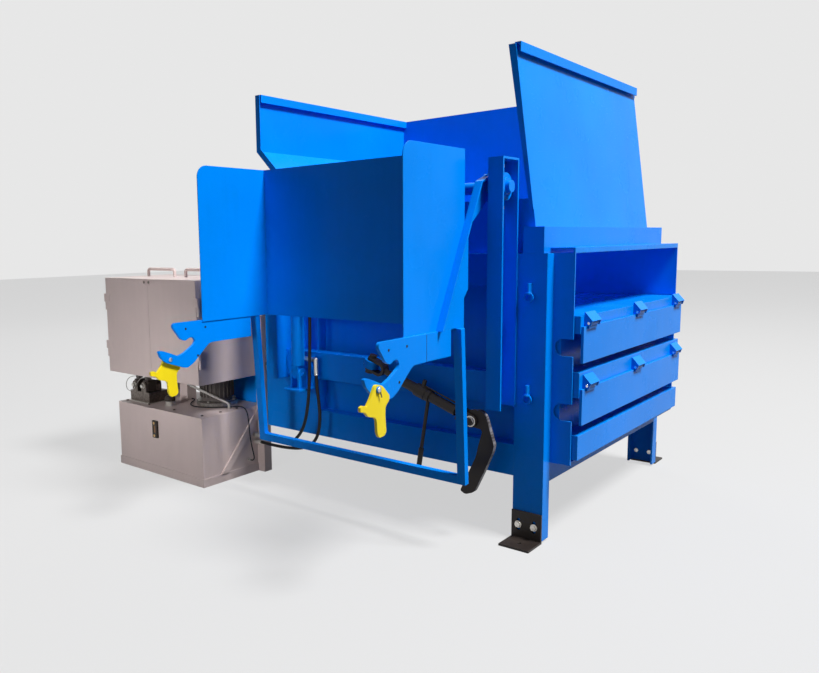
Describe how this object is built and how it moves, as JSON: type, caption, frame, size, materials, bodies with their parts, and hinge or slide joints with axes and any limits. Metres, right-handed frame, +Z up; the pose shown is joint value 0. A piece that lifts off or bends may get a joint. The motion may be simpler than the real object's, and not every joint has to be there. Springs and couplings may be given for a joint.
{
  "type": "stationary waste compactor",
  "caption": "Stationary waste compactor: steel chamber on legs with a sliding ram, hopper, tipping bin lift with trunnion hooks, container turnbuckle and a hydraulic power pack.",
  "frame": {"origin": "on the floor at the centre of the machine's footprint", "axes": "+X toward the discharge end, +Y away from the bin lift, +Z up"},
  "size_m": [2.97, 2.8088, 2.298],
  "materials": {
    "blue_paint": "gloss",
    "grey_paint": "satin",
    "dark_paint": "satin",
    "zinc_steel": "zinc plated",
    "yellow_paint": "gloss",
    "chrome_steel": "polished",
    "black_rubber": "matt",
    "black_plastic": "matt",
    "motor_paint": "satin",
    "dark_steel": "oiled"
  },
  "bodies": {
    "body": {"near_side_wall": "blue_paint", "far_side_wall": "blue_paint", "chamber_floor": "blue_paint", "rear_wall": "blue_paint", "housing_roof": "blue_paint", "spout_hood": "blue_paint", "header_beam": "blue_paint", "base_rails": "blue_paint", "side_rails": "blue_paint", "hopper_left_wall": "blue_paint", "hopper_right_wall": "blue_paint", "hopper_back_wall": "blue_paint", "hopper_front_sill": "blue_paint", "ram_cylinder_barrel": "blue_paint", "legs": "blue_paint", "foot_brackets": "dark_paint", "lift_posts": "blue_paint", "lift_cross_beam": "blue_paint", "shaft_bearings": "blue_paint", "zinc_bolts": "zinc_steel", "cylinder_bracket": "blue_paint", "lift_cylinder_barrel": "blue_paint", "hose_fittings": "zinc_steel", "turnbuckle_lug": "blue_paint", "oil_tank": "grey_paint", "filler_cap": "zinc_steel", "level_gauge": "black_plastic", "pack_stand": "grey_paint", "cabinet_box": "grey_paint", "cabinet_grips": "grey_paint", "pump_motor": "motor_paint", "valve_block": "dark_steel", "junction_box": "grey_paint", "lift_hose_high": "black_rubber", "lift_hose_low": "black_rubber", "tank_cable": "black_rubber"},
    "ram": {"ram_body": "blue_paint", "ram_wear_strips": "dark_steel", "ram_cylinder_rod": "chrome_steel", "flap_hinge_hoods": "blue_paint", "flap_hinge_pins": "chrome_steel"},
    "upper_flap": {"upper_flap": "blue_paint"},
    "lower_flap": {"lower_flap": "blue_paint"},
    "lift": {"lift_shaft": "blue_paint", "lift_arms": "blue_paint", "bin_carriage": "blue_paint", "left_hook": "blue_paint", "right_hook": "blue_paint", "guard_uprights": "blue_paint", "guard_rail": "blue_paint"},
    "left_latch": {"left_latch": "yellow_paint"},
    "right_latch": {"right_latch": "yellow_paint"},
    "lift_rod": {"lift_rod": "chrome_steel"},
    "fork": {"turnbuckle_fork": "dark_paint"},
    "sleeve": {"turnbuckle_barrel": "dark_paint"},
    "handle": {"ratchet_handle": "dark_paint"},
    "screw": {"turnbuckle_screw": "dark_paint"},
    "claw": {"turnbuckle_claw": "dark_paint"},
    "left_door": {"left_door": "grey_paint"},
    "right_door": {"right_door": "grey_paint"}
  },
  "joints": [
    {"name": "ram_slide", "type": "slide", "parent": "body", "child": "ram", "axis": [1, 0, 0], "range_m": [-1.1, 0]},
    {"name": "upper_flap_hinge", "type": "hinge", "parent": "ram", "child": "upper_flap", "pos_m": [1.46601, 0.45636, 1.036], "axis": [0, -1, 0], "range_deg": [0, 80]},
    {"name": "lower_flap_hinge", "type": "hinge", "parent": "ram", "child": "lower_flap", "pos_m": [1.46601, 0.45636, 0.749], "axis": [0, -1, 0], "range_deg": [0, 80]},
    {"name": "lift_hinge", "type": "hinge", "parent": "body", "child": "lift", "pos_m": [0.43401, -0.43264, 1.651], "axis": [-1, 0, 0], "range_deg": [0, 130]},
    {"name": "lift_rod_slide", "type": "slide", "parent": "body", "child": "lift_rod", "axis": [0, 0, 1], "range_m": [0, 0.291]},
    {"name": "right_latch_hinge", "type": "hinge", "parent": "lift", "child": "right_latch", "pos_m": [1.07201, -1.29564, 0.859], "axis": [-1, 0, 0], "range_deg": [-30, 75]},
    {"name": "left_latch_hinge", "type": "hinge", "parent": "lift", "child": "left_latch", "pos_m": [-0.20399, -1.29564, 0.859], "axis": [-1, 0, 0], "range_deg": [-30, 75]},
    {"name": "fork_hinge", "type": "hinge", "parent": "body", "child": "fork", "pos_m": [0.43301, -0.49364, 0.791], "axis": [-0.3338, 0, -0.9426], "range_deg": [0, 8]},
    {"name": "sleeve_slide", "type": "slide", "parent": "fork", "child": "sleeve", "axis": [0.9426, 0, -0.3338], "range_m": [0, 0.06]},
    {"name": "screw_slide", "type": "slide", "parent": "sleeve", "child": "screw", "axis": [0.9426, 0, -0.3338], "range_m": [0, 0.06]},
    {"name": "handle_hinge", "type": "hinge", "parent": "sleeve", "child": "handle", "pos_m": [0.7865, -0.49364, 0.66582], "axis": [0.9426, 0, -0.3338], "range_deg": [-6, 16]},
    {"name": "claw_hinge", "type": "hinge", "parent": "screw", "child": "claw", "pos_m": [1.03253, -0.49364, 0.5787], "axis": [0, -1, 0], "range_deg": [0, 45]},
    {"name": "left_door_hinge", "type": "hinge", "parent": "body", "child": "left_door", "pos_m": [-1.47599, -0.81114, 1.215], "axis": [0, 0, -1], "range_deg": [0, 110]},
    {"name": "right_door_hinge", "type": "hinge", "parent": "body", "child": "right_door", "pos_m": [-0.55699, -0.81114, 1.215], "axis": [0, 0, 1], "range_deg": [0, 110]}
  ],
  "couplings": [
    {"joint": "lift_rod_slide", "follows": "lift_hinge", "m_per_rad": 0.12782},
    {"joint": "screw_slide", "follows": "sleeve_slide", "ratio": 1}
  ]
}
